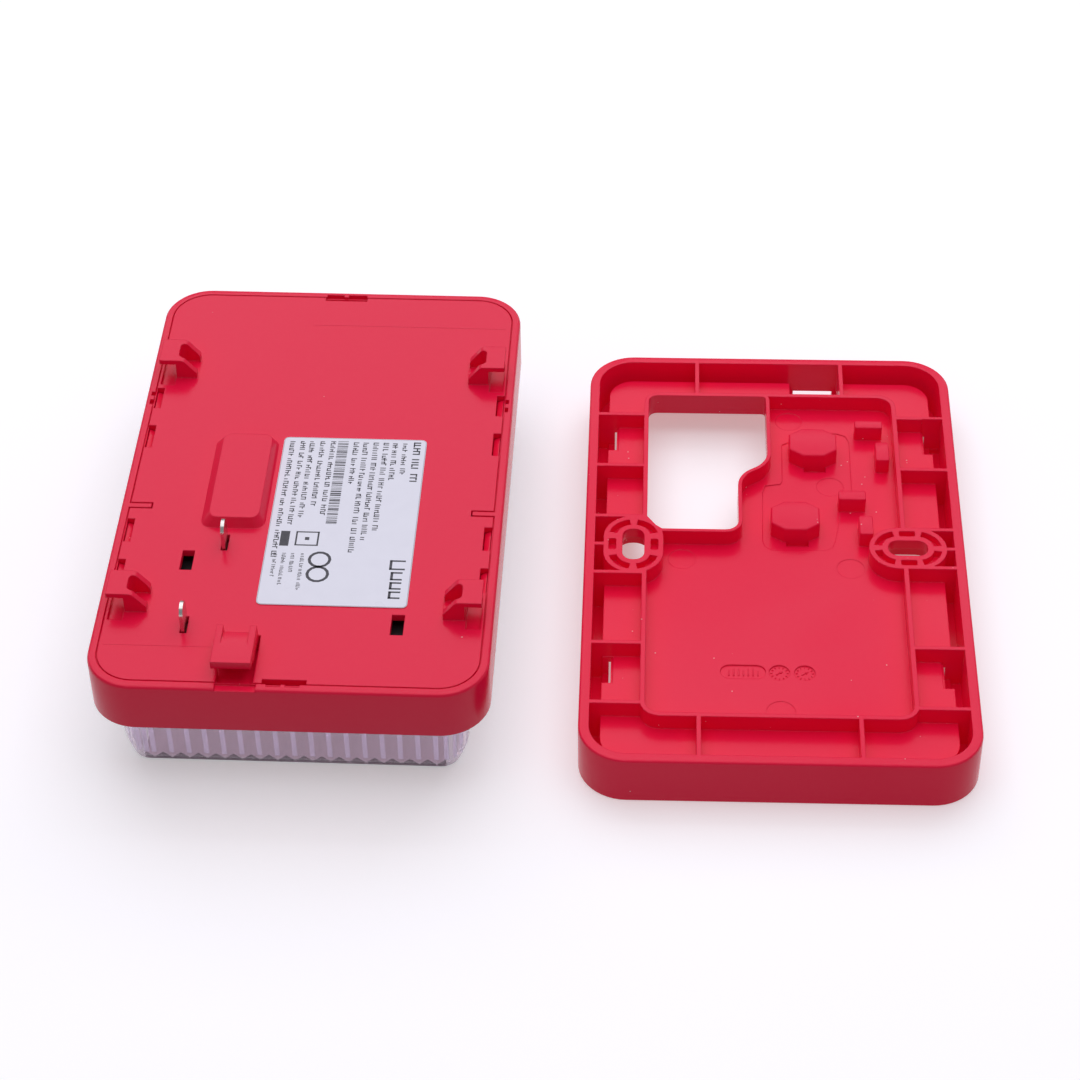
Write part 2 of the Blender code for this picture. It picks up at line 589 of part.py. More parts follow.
def make_release_latch(place):
    """Spring tongue at the lower edge. It bends about the line where it leaves the cover."""
    hinge_z = BODY_TOP - COVER_THICK / 2
    half = (LATCH_X[1] - LATCH_X[0]) / 2
    middle = (LATCH_X[0] + LATCH_X[1]) / 2
    low = -COVER_THICK / 2
    flat = COVER_THICK / 2
    top = flat + LATCH_TOP
    tip = LATCH_TIP - LATCH_ROOT
    side = [(0.0, low), (0.0, flat), (-0.2, flat), (-1.0, top), (tip, top), (tip, top - LATCH_LIP),
            (tip + 3.2, top - LATCH_LIP), (tip + 3.4, flat + 0.5), (-2.6, flat + 0.5), (-2.2, low)]
    latch = add_object("release_latch", end_slab_mesh("release_latch", side, -half, half), place, red)
    latch.location = (middle * U, LATCH_ROOT * U, hinge_z * U)
    between = [(-7.0, top + 0.01), (-1.9, top - 1.3), (-1.9, flat), (1.0, flat), (1.0, top + 1)]
    between += [(-7.0, top + 1)]
    cut = end_slab_mesh("between_webs", between, -half + LATCH_RIB, half - LATCH_RIB)
    boolean(latch, cut).location = latch.location
    smooth(latch)


def make_blades(place):
    """Plug-in blades with round tips, standing through the rear cover."""
    for number, (x, y) in enumerate(BLADES, 1):
        top = BODY_TOP + BLADE_TOP
        low = BOARD_Z[1] + GAP + 1.0
        half = BLADE_WIDTH / 2
        outline = [(y - half, low), (y + half, low)] + arc((y, top - half), half, 0, 180, 10)
        mesh = end_slab_mesh(f"contact_blade_{number}", outline, x - BLADE_THICK / 2, x + BLADE_THICK / 2)
        blade = add_object(f"contact_blade_{number}", mesh, place, nickel)
        smooth(blade)


def make_label(place):
    outline = round_rect((7.9, -14.8), (17.0, 28.6), 1.2, 4)
    mesh = slab_mesh("rating_label", [outline], BODY_TOP + 0.08, BODY_TOP + 0.2)
    add_object("rating_label", mesh, place, paper)


# ================================================================ wall bracket
def octagon(centre, inset=0.0):
    """Eight-sided outline of a terminal boss, or one inset from it."""
    x, y = BOSS_HALF[0] - inset, BOSS_HALF[1] - inset
    side, end = BOSS_FACETS[0] - inset * 0.4, BOSS_FACETS[1] - inset * 0.4
    points = [(x, -side), (x, side), (end, y), (-end, y)]
    points += [(-px, -py) for px, py in points]
    return [(centre[0] + px, centre[1] + py) for px, py in points]


def rosette_pockets(centre, half, name):
    """The shallow pockets around a fixing slot: two rectangles and four arcs."""
    along_y = half[1] > half[0]
    radius = min(half)
    straight = max(half) - radius
    inner, outer = radius - 3.0, radius - 1.2
    meshes = []
    for end in (-1, 1):
        shift = end * straight
        middle = (centre[0], centre[1] + shift) if along_y else (centre[0] + shift, centre[1])
        heading = (90 if end > 0 else 270) if along_y else (0 if end > 0 else 180)
        for start, stop in ((-76, -10), (10, 76)):
            ring = arc(middle, outer, heading + start, heading + stop, 6)
            ring += arc(middle, inner, heading + stop, heading + start, 6)
            meshes.append(slab_mesh("arc", [ring], POCKET_FLOOR, BRACKET_TOP + 1))
        across = (inner + outer) / 2 * end
        middle = (centre[0] + across, centre[1]) if along_y else (centre[0], centre[1] + across)
        size = (0.9, 1.9) if along_y else (1.9, 0.9)
        meshes.append(slab_mesh("square", [round_rect(middle, size, 0.4, 2)], POCKET_FLOOR, BRACKET_TOP + 1))
    return joined_mesh(name, meshes)


def cable_window(grow):
    """Outline of the cable entry: wide at the far end, with a swept step in its right side."""
    bend = 6.96
    points = arc((-28.0, 52.7), 2.2 + grow, 90, 180, 4)
    points += [(-30.2 - grow, 9.9), (-28.1 - 0.7 * grow, 6.8 - 0.7 * grow), (-26.6, 5.6 - grow)]
    points += arc((-11.5, 8.8), 3.2 + grow, -90, 0, 5)
    points += arc((-8.3 + bend, 21.6), bend - grow, 180, 118, 7)
    points += arc((-0.95 - bend, 33.9), bend + grow, -62, 0, 7)
    points += arc((-1.95, 53.9), 1.0 + grow, 0, 90, 3)
    return points


def side_rib(side, y, outer_x, inner_x):
    """Cross rib from the frame to the rim. It also fills the moat."""
    moat = BRACKET_WIDTH / 2 - RIM - CHANNEL
    profile = [(inner_x, FLOOR_TOP - 0.4), (moat - 0.3, FLOOR_TOP - 0.4), (moat - 0.3, CHANNEL_FLOOR - 0.4),
               (outer_x, CHANNEL_FLOOR - 0.4), (outer_x, BRACKET_TOP), (inner_x, BRACKET_TOP)]
    if side < 0:
        profile = [(-x, z) for x, z in reversed(profile)]
    return side_slab_mesh("rib", profile, y - RIB / 2, y + RIB / 2)


def end_rib(end, x):
    """Short rib from the frame to the far or near rim."""
    moat = LENGTH / 2 - RIM - CHANNEL
    start = FRAME_Y[1] - 0.5 if end > 0 else -FRAME_Y[0] - 0.5
    outer = LENGTH / 2 - RIM + 0.4
    profile = [(start, FLOOR_TOP - 0.4), (moat - 0.3, FLOOR_TOP - 0.4), (moat - 0.3, CHANNEL_FLOOR - 0.4),
               (outer, CHANNEL_FLOOR - 0.4), (outer, BRACKET_TOP), (start, BRACKET_TOP)]
    if end < 0:
        profile = [(-y, z) for y, z in reversed(profile)]
    return end_slab_mesh("rib", profile, x - RIB / 2, x + RIB / 2)


def bracket_ribs():
    """All the ribs that stand from the floor to the rim level."""
    outer = BRACKET_WIDTH / 2 - RIM + 0.4
    inner = FRAME_HALF_X - 0.5
    ribs = []
    ribs += [side_rib(-1, y, outer, inner) for y in LEFT_RIBS]
    ribs += [side_rib(1, y, outer, inner) for y in RIGHT_RIBS]
    ribs += [side_rib(-1, 0.1, outer, -SLOT_LEFT + 5.0), side_rib(1, -0.1, outer, SLOT_RIGHT + 7.0)]
    ribs += [end_rib(end, x) for end in (-1, 1) for x in (-18.1, 18.1)]
    return joined_mesh("ribs", ribs)


def boss_recess():
    """The slightly lower part of the floor around the two bosses."""
    outline = [(2.9, 41.4), (2.7, 27.9), (2.2, 26.8), (-1.5, 26.1), (-2.2, 23.5), (-2.5, 6.3), (-1.9, 4.2),
               (-0.3, 3.1), (12.6, 3.3), (14.2, 4.3), (14.8, 6.1), (16.2, 14.1), (16.6, 21.4), (19.5, 24.0),
               (19.6, 42.7), (18.8, 45.0), (16.6, 46.0), (8.0, 45.6), (4.7, 42.4)]
    return slab_mesh("boss_recess", [outline], FLOOR_TOP - RECESS, FLOOR_TOP + 1)


def make_bracket(place):
    """Moulded back plate: U-section skirt, ribbed floor, cable entry, fixing slots and terminal bosses."""
    half = (BRACKET_WIDTH / 2, LENGTH / 2)
    outline = inset_rect((0, 0), half, CORNER_RADIUS)
    block = soft_slab_mesh("mounting_bracket", outline, 0.0, BRACKET_TOP, BRACKET_FILLET)
    bracket = add_object("mounting_bracket", block, place, red)

    front = round_rect((0, 0), (CAVITY_HALF_X, CAVITY_HALF_Y), CORNER_RADIUS - 6.0)
    boolean(bracket, slab_mesh("front_cavity", [front], -1.0, FLOOR_UNDER))
    rim = (half[0] - RIM, half[1] - RIM)
    rim_outline = round_rect((0, 0), rim, CORNER_RADIUS - RIM)
    boolean(bracket, slab_mesh("wall_cavity", [rim_outline], FLOOR_TOP, BRACKET_TOP + 1))
    moat = (rim[0] - CHANNEL, rim[1] - CHANNEL)
    moat_outline = round_rect((0, 0), moat, CORNER_RADIUS - RIM - CHANNEL)
    boolean(bracket, slab_mesh("moat", [rim_outline, moat_outline], CHANNEL_FLOOR, BRACKET_TOP + 0.5))
    boolean(bracket, boss_recess())
    width, length, depth = BOSS_SLOT
    slots = [(x - width + 0.5, x + width + 0.5, y - BOSS_HALF[1] - length, y - BOSS_HALF[1] + 0.3,
              FLOOR_TOP - depth, FLOOR_TOP + 1) for x, y in TERMINALS]
    boolean(bracket, boxes_mesh("boss_slots", slots))

    middle = (0, (FRAME_Y[0] + FRAME_Y[1]) / 2)
    reach = (FRAME_HALF_X, (FRAME_Y[1] - FRAME_Y[0]) / 2)
    frame = [round_rect(middle, reach, FRAME_RADIUS, 5),
             round_rect(middle, (reach[0] - FRAME_RIB, reach[1] - FRAME_RIB), FRAME_RADIUS - FRAME_RIB, 5)]
    boolean(bracket, slab_mesh("frame_rib", frame, FLOOR_TOP - 0.3, BRACKET_TOP), "UNION")
    boolean(bracket, bracket_ribs(), "UNION")
    boolean(bracket, slab_mesh("window_wall", [cable_window(0.9)], FLOOR_TOP - 0.3, BRACKET_TOP), "UNION")

    rosettes = []
    for x, heading in ((SLOT_LEFT, (0, 1)), (SLOT_RIGHT, (1, 0))):
        slot_half = (SLOT_HALF_WIDTH + 2.1 * heading[0], SLOT_HALF_WIDTH + 2.7 * heading[1])
        rosettes.append((x, slot_half, (slot_half[0] + ROSETTE, slot_half[1] + ROSETTE)))
    pads = [slab_mesh("pad", [round_rect((x, 0), pad_half, min(pad_half), 8)], FLOOR_UNDER + 0.3, BRACKET_TOP)
            for x, _, pad_half in rosettes]
    boolean(bracket, joined_mesh("pads", pads), "UNION")
    foot = FLOOR_TOP - depth - 0.15
    bosses = [soft_slab_mesh("boss", lambda inset, place=centre: octagon(place, inset), foot, BOSS_TOP, 0.45)
              for centre in TERMINALS]
    boolean(bracket, joined_mesh("bosses", bosses), "UNION")
    posts = [soft_slab_mesh("post", inset_rect((x, y), (half_x, half_y), 0.55, 3), FLOOR_TOP - 0.5,
                            BOSS_TOP, 0.35, 2) for x, y, half_x, half_y in POSTS]
    boolean(bracket, joined_mesh("posts", posts), "UNION")

    for number, (x, slot_half, pad_half) in enumerate(rosettes, 1):
        boolean(bracket, rosette_pockets((x, 0), pad_half, f"pad_pockets_{number}"))
    heads = []
    for x, slot_half, _ in rosettes:
        outline = round_rect((x, 0), (slot_half[0] + 1.3, slot_half[1] + 1.3), min(slot_half) + 1.1, 6)
        heads.append(slab_mesh("head", [outline], -0.5, BRACKET_TOP - PAD_THICK))
    boolean(bracket, joined_mesh("head_recesses", heads))
    slots = []
    for x, slot_half, _ in rosettes:
        outline = round_rect((x, 0), slot_half, min(slot_half) - 0.2, 6)
        slots.append(slab_mesh("slot", [outline], -0.6, BRACKET_TOP + 1))
    boolean(bracket, joined_mesh("slots", slots))
    low = FLOOR_UNDER - 0.5
    wells = [slab_mesh("well", [octagon(centre, 1.2)], low, BOSS_TOP - 1.4) for centre in TERMINALS]
    boolean(bracket, joined_mesh("wells", wells))
    boolean(bracket, slab_mesh("cable_entry", [cable_window(0.0)], -1.2, BRACKET_TOP + 1))

    rim_inside = half[0] - RIM - 0.01
    hooks = [(HOOK_WINDOW_X, rim_inside, y0, y1, 2.9, BRACKET_TOP + 1) for y0, y1 in FRONT_HOOKS]
    boolean(bracket, boxes_mesh("hook_windows", mirrored(hooks)))
    well = (5.4, 17.5, FRAME_Y[1] + 0.02, half[1] - RIM - 0.01, CHANNEL_FLOOR + 0.4, BRACKET_TOP + 1)
    throat = (-LATCH_X[1] - 0.5, -LATCH_X[0] + 0.5, FRAME_Y[1] + 1.0, half[1] + 1, -1.0, 3.9)
    boolean(bracket, boxes_mesh("latch_well", [well]))
    boolean(bracket, boxes_mesh("latch_throat", [throat]))

    ejectors = ((4.8, 50.3), (-21.8, -0.5), (18.2, -3.0), (0.6, -50.3))
    marks = [(x, y, FLOOR_TOP - 0.09, FLOOR_TOP + 1, 3.3, 3.3) for x, y in ejectors]
    marks += [(14.3, 26.2, FLOOR_TOP - RECESS - 0.09, FLOOR_TOP + 1, 3.3, 3.3)]
    marks += [(x, -37.9, FLOOR_TOP - 0.3, FLOOR_TOP + 1, 2.4, 2.4) for x in (0.5, 6.3)]
    boolean(bracket, cylinders_mesh("floor_marks", marks, 24))
    badge = round_rect((-7.8, -37.8), (5.2, 2.2), 2.2, 5)
    boolean(bracket, slab_mesh("badge", [badge], FLOOR_TOP - 0.3, FLOOR_TOP + 1.1))
    smooth(bracket)


def make_terminals(place):
    """On the bracket's front: a plated contact, its clamp washer and its screw, for each core."""
    for number, (x, y) in enumerate(TERMINALS, 1):
        seat_x, seat_y = x + BLADE_SEAT[0], y + BLADE_SEAT[1]
        top = FLOOR_UNDER - GAP
        strip = [(x - 4, y - 4), (x + 4, y - 4), (x + 4, seat_y - 4), (seat_x + 2.6, seat_y - 4),
                 (seat_x + 2.6, seat_y + 3.4), (seat_x - 2.6, seat_y + 3.4), (seat_x - 2.6, seat_y - 0.6),
                 (x - 4, seat_y - 0.6)]
        name = f"terminal_contact_{number}"
        contact = add_object(name, slab_mesh(name, [strip], top - 0.8, top), place, nickel)
        blade_gap = BLADE_THICK / 2 + GAP
        legs = [(seat_x - blade_gap - 0.7, seat_x - blade_gap, seat_y - 2.0, seat_y + 2.0, 2.4, top - 0.4),
                (seat_x + blade_gap, seat_x + blade_gap + 0.7, seat_y - 2.0, seat_y + 2.0, 2.4, top - 0.4)]
        boolean(contact, boxes_mesh("fork", legs), "UNION")
        holes = [(seat_x - blade_gap, seat_x + blade_gap, seat_y - 2.6, seat_y + 2.6, top - 2, top + 1)]
        boolean(contact, boxes_mesh("blade_slot", holes))
        boolean(contact, cylinders_mesh("screw_hole", [(x, y, top - 2, top + 1, 1.75, 1.75)], 16))

        washer_top = top - 0.8 - GAP
        name = f"clamp_washer_{number}"
        outline = [round_rect((x, y), (3.6, 3.6), 0.4, 2), arc((x, y), 1.75, 0, 337.5, 15)]
        add_object(name, slab_mesh(name, outline, washer_top - 0.9, washer_top), place, steel)

        head_top = washer_top - 0.9 - GAP
        name = f"terminal_screw_{number}"
        shank = BOSS_TOP - 1.4 - 0.7 - head_top
        screw = add_object(name, cylinders_mesh(name, [(0, 0, -0.1, shank, 1.4, 1.4)], 16), place, steel)
        screw.location = (x * U, y * U, head_top * U)
        head = cylinders_mesh("head", [(0, 0, -1.7, 0.0, 2.4, 2.9)], 20)
        boolean(screw, head, "UNION").location = screw.location
        cross = boxes_mesh("recess", [(-1.7, 1.7, -0.35, 0.35, -3, -0.9)])
        boolean(screw, cross).location = screw.location
        smooth(screw)


# ================================================================ assembly
clear_scene()
parts = collection(BODY_COLLECTION)
cutters = collection(CUTTER_COLLECTION)

red = material("red_plastic", (0.62, 0.016, 0.035), 0.38)
clear = material("clear_plastic", (0.86, 0.85, 0.88), 0.06, alpha=0.35)
rubber = material("gasket_rubber", (0.02, 0.02, 0.022), 0.75)
white_plastic = material("white_plastic", (0.83, 0.83, 0.82), 0.45)
ivory_plastic = material("ivory_plastic", (0.72, 0.66, 0.5), 0.5)
black_plastic = material("black_plastic", (0.015, 0.015, 0.016), 0.5)
board_green = material("board_green", (0.02, 0.16, 0.05), 0.4)
ferrite = material("ferrite", (0.05, 0.05, 0.055), 0.7)
lamp_yellow = material("lamp_yellow", (0.9, 0.78, 0.3), 0.35)
steel = material("zinc_steel", (0.6, 0.6, 0.58), 0.35, metallic=1.0)
nickel = material("nickel", (0.66, 0.62, 0.55), 0.28, metallic=1.0)
brass = material("brass", (0.75, 0.55, 0.2), 0.3, metallic=1.0)
paper = material("label_paper", (0.86, 0.87, 0.9), 0.35)

body_place = empty("body_place", BODY_X, BODY_Y, BODY_TURN)
bracket_place = empty("bracket_place", BRACKET_X, BRACKET_Y)

make_front_housing(body_place)
make_lens(body_place)
make_lens_gasket(body_place)
make_reflector(body_place)
make_circuit_board(body_place)
make_board_screws(body_place)
make_lamps(body_place)
make_sounder(body_place)
make_board_parts(body_place)
make_rear_cover(body_place)
make_release_latch(body_place)
make_blades(body_place)
make_label(body_place)
make_bracket(bracket_place)
make_terminals(bracket_place)
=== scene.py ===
import math
import random

import bmesh
import bpy
from mathutils import Matrix, Vector


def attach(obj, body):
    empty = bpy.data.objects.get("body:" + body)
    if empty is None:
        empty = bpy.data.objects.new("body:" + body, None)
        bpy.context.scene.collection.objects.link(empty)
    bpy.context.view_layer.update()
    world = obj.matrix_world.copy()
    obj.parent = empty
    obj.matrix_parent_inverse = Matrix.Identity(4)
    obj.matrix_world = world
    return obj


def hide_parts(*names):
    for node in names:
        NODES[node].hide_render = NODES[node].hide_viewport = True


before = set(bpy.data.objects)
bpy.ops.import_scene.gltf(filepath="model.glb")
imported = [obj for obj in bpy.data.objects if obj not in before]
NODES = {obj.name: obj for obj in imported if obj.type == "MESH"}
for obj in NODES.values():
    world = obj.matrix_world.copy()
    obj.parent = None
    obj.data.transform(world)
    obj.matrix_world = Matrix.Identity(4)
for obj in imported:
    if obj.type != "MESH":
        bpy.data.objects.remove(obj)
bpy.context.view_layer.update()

MM = 0.001
scene = bpy.context.scene

# Each half has its own axes in millimetres. These place them in the world.
BODY_TURN = math.radians(-0.86)
PLACES = {
    "sounder_body": Matrix.Translation((-0.0537376, 0.0008669, 0.0)) @ Matrix.Rotation(BODY_TURN, 4, "Z"),
    "bracket": Matrix.Translation((0.0541224, -0.0013631, 0.0)),
}

# ---------------------------------------------------------------- sizes on the sounder body
BODY_TOP = 30.4  # the cover's back, which faces up
LENS_HALF = (40.0, 64.4)
LENS_RADIUS = 7.0
LENS_DEPTH = 17.8
LENS_END = 19.85  # inside the housing
SIDE_LEAN = 1.7  # how much further in the lens's long sides are at the very front
LEAN_HEIGHT = 6.0
RIB_PITCH = 4.0
LABEL_CENTRE = (7.9, -14.8)
LABEL_HALF = (16.95, 28.55)
LABEL_PRINT_Z = BODY_TOP + 0.205
GROOVE_HALF = (42.62, 68.12)
GROOVE_RADIUS = 9.12
GROOVE_WIDTH = 0.34
GROOVE_Z = (28.5, 29.8)
LATCH_FILLER = (-15.9, -7.2, -53.39, -53.05, 29.55, 30.36)  # low and high x, y and z
WITNESS_LINES = ((-41.5, -17.0, -57.2), (-7.0, 41.0, 56.7))  # low x, high x, y
SIDE_WINDOWS = ((23.5, 31.0), (9.1, 17.1), (-23.8, -16.0), (-37.6, -29.7))  # low and high y
CATCH_X = (40.62, 42.1)
CATCH_Z = (28.35, 29.3)
CATCH_SLOPE = 0.6

# ---------------------------------------------------------------- sizes on the bracket
CLAW_WINDOWS = ((38.6, 47.1), (-42.1, -33.8))  # low and high y
LIP_X = (37.55, 38.06)
LIP_Z = (6.85, 7.98)
DIAL_PLACES = ((0.5, -37.9), (6.3, -37.9))
DIAL_FLOOR = 8.1


# ---------------------------------------------------------------- camera, world, floor, lights
def make_camera():
    data = bpy.data.cameras.new("camera")
    data.lens = 96.9
    data.sensor_width = 36.0
    data.clip_start = 0.01
    data.clip_end = 20.0
    camera = bpy.data.objects.new("camera", data)
    turn = Matrix.Rotation(math.radians(2.797), 4, "Z")
    tilt = Matrix.Rotation(math.radians(47.141), 4, "X")
    roll = Matrix.Rotation(math.radians(-1.013), 4, "Z")
    camera.matrix_world = Matrix.Translation((0.02324, -0.50690, 0.48303)) @ turn @ tilt @ roll
    scene.collection.objects.link(camera)
    scene.camera = camera


def make_softbox(name, location, size, power, colour):
    """A rectangular area light that faces the object."""
    data = bpy.data.lights.new(name, "AREA")
    data.shape = "RECTANGLE"
    data.size = size[0]
    data.size_y = size[1]
    data.energy = power
    data.color = colour
    lamp = bpy.data.objects.new(name, data)
    lamp.location = location
    lamp.rotation_euler = (-Vector(location)).to_track_quat("-Z", "Y").to_euler()
    scene.collection.objects.link(lamp)


def make_world():
    world = bpy.data.worlds.new("studio")
    world.use_nodes = True
    background = world.node_tree.nodes["Background"]
    background.inputs["Color"].default_value = (1.0, 0.98, 1.06, 1.0)
    background.inputs["Strength"].default_value = 0.30
    scene.world = world


def make_floor():
    """Pale paper that shines a little, as a lit background does. Diffuse rays pass it, so it doesn't light
    the object from below."""
    work = bmesh.new()
    bmesh.ops.create_grid(work, x_segments=24, y_segments=24, size=3.0)
    mesh = bpy.data.meshes.new("floor")
    work.to_mesh(mesh)
    work.free()
    floor = bpy.data.objects.new("floor", mesh)
    floor.location = (0.0, 0.0, -0.0002)
    scene.collection.objects.link(floor)
    paint = Paint("floor_paper", (0.93, 0.93, 0.94), 0.6)
    cloudy = paint.noise(6.0, detail=2.0)
    paint.link(paint.ramp(cloudy, ((0.3, (0.815, 0.815, 0.825)), (0.7, (0.83, 0.83, 0.84)))), "Base Color")
    paint.glow((1.0, 1.0, 1.0), 0.33)
    mesh.materials.append(paint.material)
    floor.visible_diffuse = False


# ---------------------------------------------------------------- materials
class Paint:
    """A Principled material with helpers that add procedural nodes to it."""

    def __init__(self, name, colour, roughness, metallic=0.0, **sockets):
        self.material = bpy.data.materials.new(name)
        self.material.use_nodes = True
        self.tree = self.material.node_tree
        self.shader = self.tree.nodes["Principled BSDF"]
        self.shader.inputs["Base Color"].default_value = (*colour, 1.0)
        self.shader.inputs["Roughness"].default_value = roughness
        self.shader.inputs["Metallic"].default_value = metallic
        for socket, value in sockets.items():
            self.shader.inputs[socket.replace("_", " ")].default_value = value
        self.coordinates = self.tree.nodes.new("ShaderNodeTexCoord").outputs["Object"]

    def node(self, kind, **settings):
        made = self.tree.nodes.new(kind)
        for key, value in settings.items():
            setattr(made, key, value)
        return made

    def wire(self, source, target):
        self.tree.links.new(source, target)

    def link(self, source, socket):
        self.wire(source, self.shader.inputs[socket])

    def glow(self, colour, strength):
        self.shader.inputs["Emission Color"].default_value = (*colour, 1.0)
        self.shader.inputs["Emission Strength"].default_value = strength

    def mapped(self, **sockets):
        """Object coordinates after a mapping, such as Scale or Location."""
        made = self.node("ShaderNodeMapping")
        for socket, value in sockets.items():
            made.inputs[socket].default_value = value
        self.wire(self.coordinates, made.inputs["Vector"])
        return made.outputs["Vector"]

    def noise(self, scale, detail=3.0, vector=None, distortion=0.0):
        made = self.node("ShaderNodeTexNoise")
        made.inputs["Scale"].default_value = scale
        made.inputs["Detail"].default_value = detail
        made.inputs["Distortion"].default_value = distortion
        self.wire(vector or self.coordinates, made.inputs["Vector"])
        return made.outputs["Fac"]

    def ramp(self, source, stops):
        """A colour for each value of the source, from two stops of a place and a colour."""
        made = self.node("ShaderNodeValToRGB")
        for point, (place, colour) in zip(made.color_ramp.elements, stops):
            point.position = place
            point.color = (*colour, 1.0)
        self.wire(source, made.inputs["Fac"])
        return made.outputs["Color"]

    def steps(self, source, low, high, to_low=0.0, to_high=1.0):
        made = self.node("ShaderNodeMapRange", clamp=True)
        for socket, value in (("From Min", low), ("From Max", high), ("To Min", to_low), ("To Max", to_high)):
            made.inputs[socket].default_value = value
        self.wire(source, made.inputs["Value"])
        return made.outputs["Result"]

    def math(self, operation, *values):
        made = self.node("ShaderNodeMath", operation=operation)
        for socket, value in zip(made.inputs, values):
            self.give(socket, value)
        return made.outputs["Value"]

    def mix(self, factor, first, second):
        made = self.node("ShaderNodeMix", data_type="RGBA")
        self.give(made.inputs["Factor"], factor)
        self.give(made.inputs[6], first)
        self.give(made.inputs[7], second)
        return made.outputs[2]

    def give(self, socket, value):
        """Sets a number or a colour on a socket, or wires another node's output to it."""
        if isinstance(value, (int, float)):
            socket.default_value = value
        elif isinstance(value, tuple):
            socket.default_value = (*value, 1.0)
        else:
            self.wire(value, socket)

    def specks(self, scale, size, share, seed=0.0):
        """Few small round spots: cells whose random value is under the share, near their middle."""
        cells = self.node("ShaderNodeTexVoronoi", feature="F1")
        cells.inputs["Scale"].default_value = scale
        self.wire(self.mapped(Location=(seed, seed * 0.7, seed * 0.3)), cells.inputs["Vector"])
        near = self.steps(cells.outputs["Distance"], size * 0.6, size, 1.0, 0.0)
        split = self.node("ShaderNodeSeparateColor")
        self.wire(cells.outputs["Color"], split.inputs["Color"])
        chosen = self.math("LESS_THAN", split.outputs["Red"], share)
        return self.math("MULTIPLY", near, chosen)

    def round_edges(self, radius):
        """Shades every edge as if it had a small fillet, in millimetres."""
        made = self.node("ShaderNodeBevel", samples=6)
        made.inputs["Radius"].default_value = radius * MM
        self.link(made.outputs["Normal"], "Normal")

    def bump(self, height, strength, distance):
        made = self.node("ShaderNodeBump")
        made.inputs["Strength"].default_value = strength
        made.inputs["Distance"].default_value = distance
        self.wire(height, made.inputs["Height"])
        if self.shader.inputs["Normal"].is_linked:
            self.wire(self.shader.inputs["Normal"].links[0].from_socket, made.inputs["Normal"])
        self.link(made.outputs["Normal"], "Normal")


def red_plastic(name, glow, grain=0.05, dusty=0.012, worn=False):
    """Glossy moulded red. The glow stands for light that scatters inside thin walls, and grain is the
    mould's surface. A worn one has flecks on it, and its gloss is dulled in broad soft patches."""
    gloss = 0.32
    paint = Paint(name, (0.84, 0.004, 0.050), 0.24, IOR=1.46, Specular_IOR_Level=gloss)
    if worn:
        patches = paint.noise(14.0, distortion=0.4)
        paint.link(paint.steps(patches, 0.3, 0.7, gloss - 0.12, gloss + 0.02), "Specular IOR Level")
    broad = paint.noise(9.0, detail=2.0)
    colour = paint.ramp(broad, ((0.2, (0.825, 0.0036, 0.048)), (0.8, (0.855, 0.0046, 0.052))))
    fine = paint.noise(900.0, detail=2.0)
    colour = paint.mix(paint.math("MULTIPLY", fine, 0.05), colour, (0.95, 0.08, 0.12))
    if worn:
        flecks = paint.specks(480.0, 0.09, 0.09, seed=7.0)
        colour = paint.mix(flecks, colour, (0.86, 0.46, 0.49))
    dust = paint.specks(420.0, 0.09, dusty)
    paint.link(paint.mix(dust, colour, (0.80, 0.36, 0.40)), "Base Color")
    paint.link(paint.math("MULTIPLY_ADD", paint.noise(25.0), 0.07, 0.19), "Roughness")
    paint.glow((1.0, 0.0, 0.035), glow)
    paint.round_edges(0.35)
    paint.bump(paint.noise(1500.0, detail=2.0), grain, 0.00006)
    return paint.material


def clear_plastic(name, tint, roughness, clarity, index, guided=0.0):
    """Clear moulding with fine flow lines. Less clarity gives it the haze of thick ribs, and guided is
    the light that a rib carries from its ends."""
    paint = Paint(name, tint, 0.05, IOR=index, Transmission_Weight=clarity)
    if guided:
        paint.glow((0.88, 0.80, 1.0), guided)
    streaks = paint.noise(55.0, vector=paint.mapped(Scale=(1.0, 1.0, 0.12)))
    paint.link(paint.steps(streaks, 0.3, 0.7, *roughness), "Roughness")
    waves = paint.noise(160.0, detail=2.0, vector=paint.mapped(Scale=(1.0, 1.0, 0.15)))
    paint.bump(waves, 0.08, 0.0002)
    return paint.material


def simple(name, colour, second, roughness, metallic=0.0, scale=400.0, bump=0.08):
    """A material with two close colours mixed by fine noise, and a little relief."""
    paint = Paint(name, colour, roughness, metallic)
    grain = paint.noise(scale, detail=4.0)
    paint.link(paint.ramp(grain, ((0.3, colour), (0.7, second))), "Base Color")
    soft = paint.noise(scale * 0.4)
    paint.link(paint.steps(soft, 0.2, 0.8, roughness * 0.85, roughness * 1.2), "Roughness")
    paint.bump(paint.noise(scale * 3.0, detail=2.0), bump, 0.00005)
    return paint.material


# ---------------------------------------------------------------- helpers for the pieces
def piece(name, work, material, body, replaces=(), smooth=None):
    """Turns a bmesh in a half's own millimetres into a piece that rides on that half's body."""
    bmesh.ops.recalc_face_normals(work, faces=work.faces)
    mesh = bpy.data.meshes.new(name)
    work.to_mesh(mesh)
    work.free()
    mesh.transform(PLACES[body] @ Matrix.Diagonal((MM, MM, MM, 1.0)))
    if smooth:
        mesh.shade_smooth()
        mesh.set_sharp_from_angle(angle=math.radians(smooth))
    mesh.materials.append(material)
    made = bpy.data.objects.new(name, mesh)
    scene.collection.objects.link(made)
    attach(made, body)
    if replaces:
        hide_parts(*replaces)


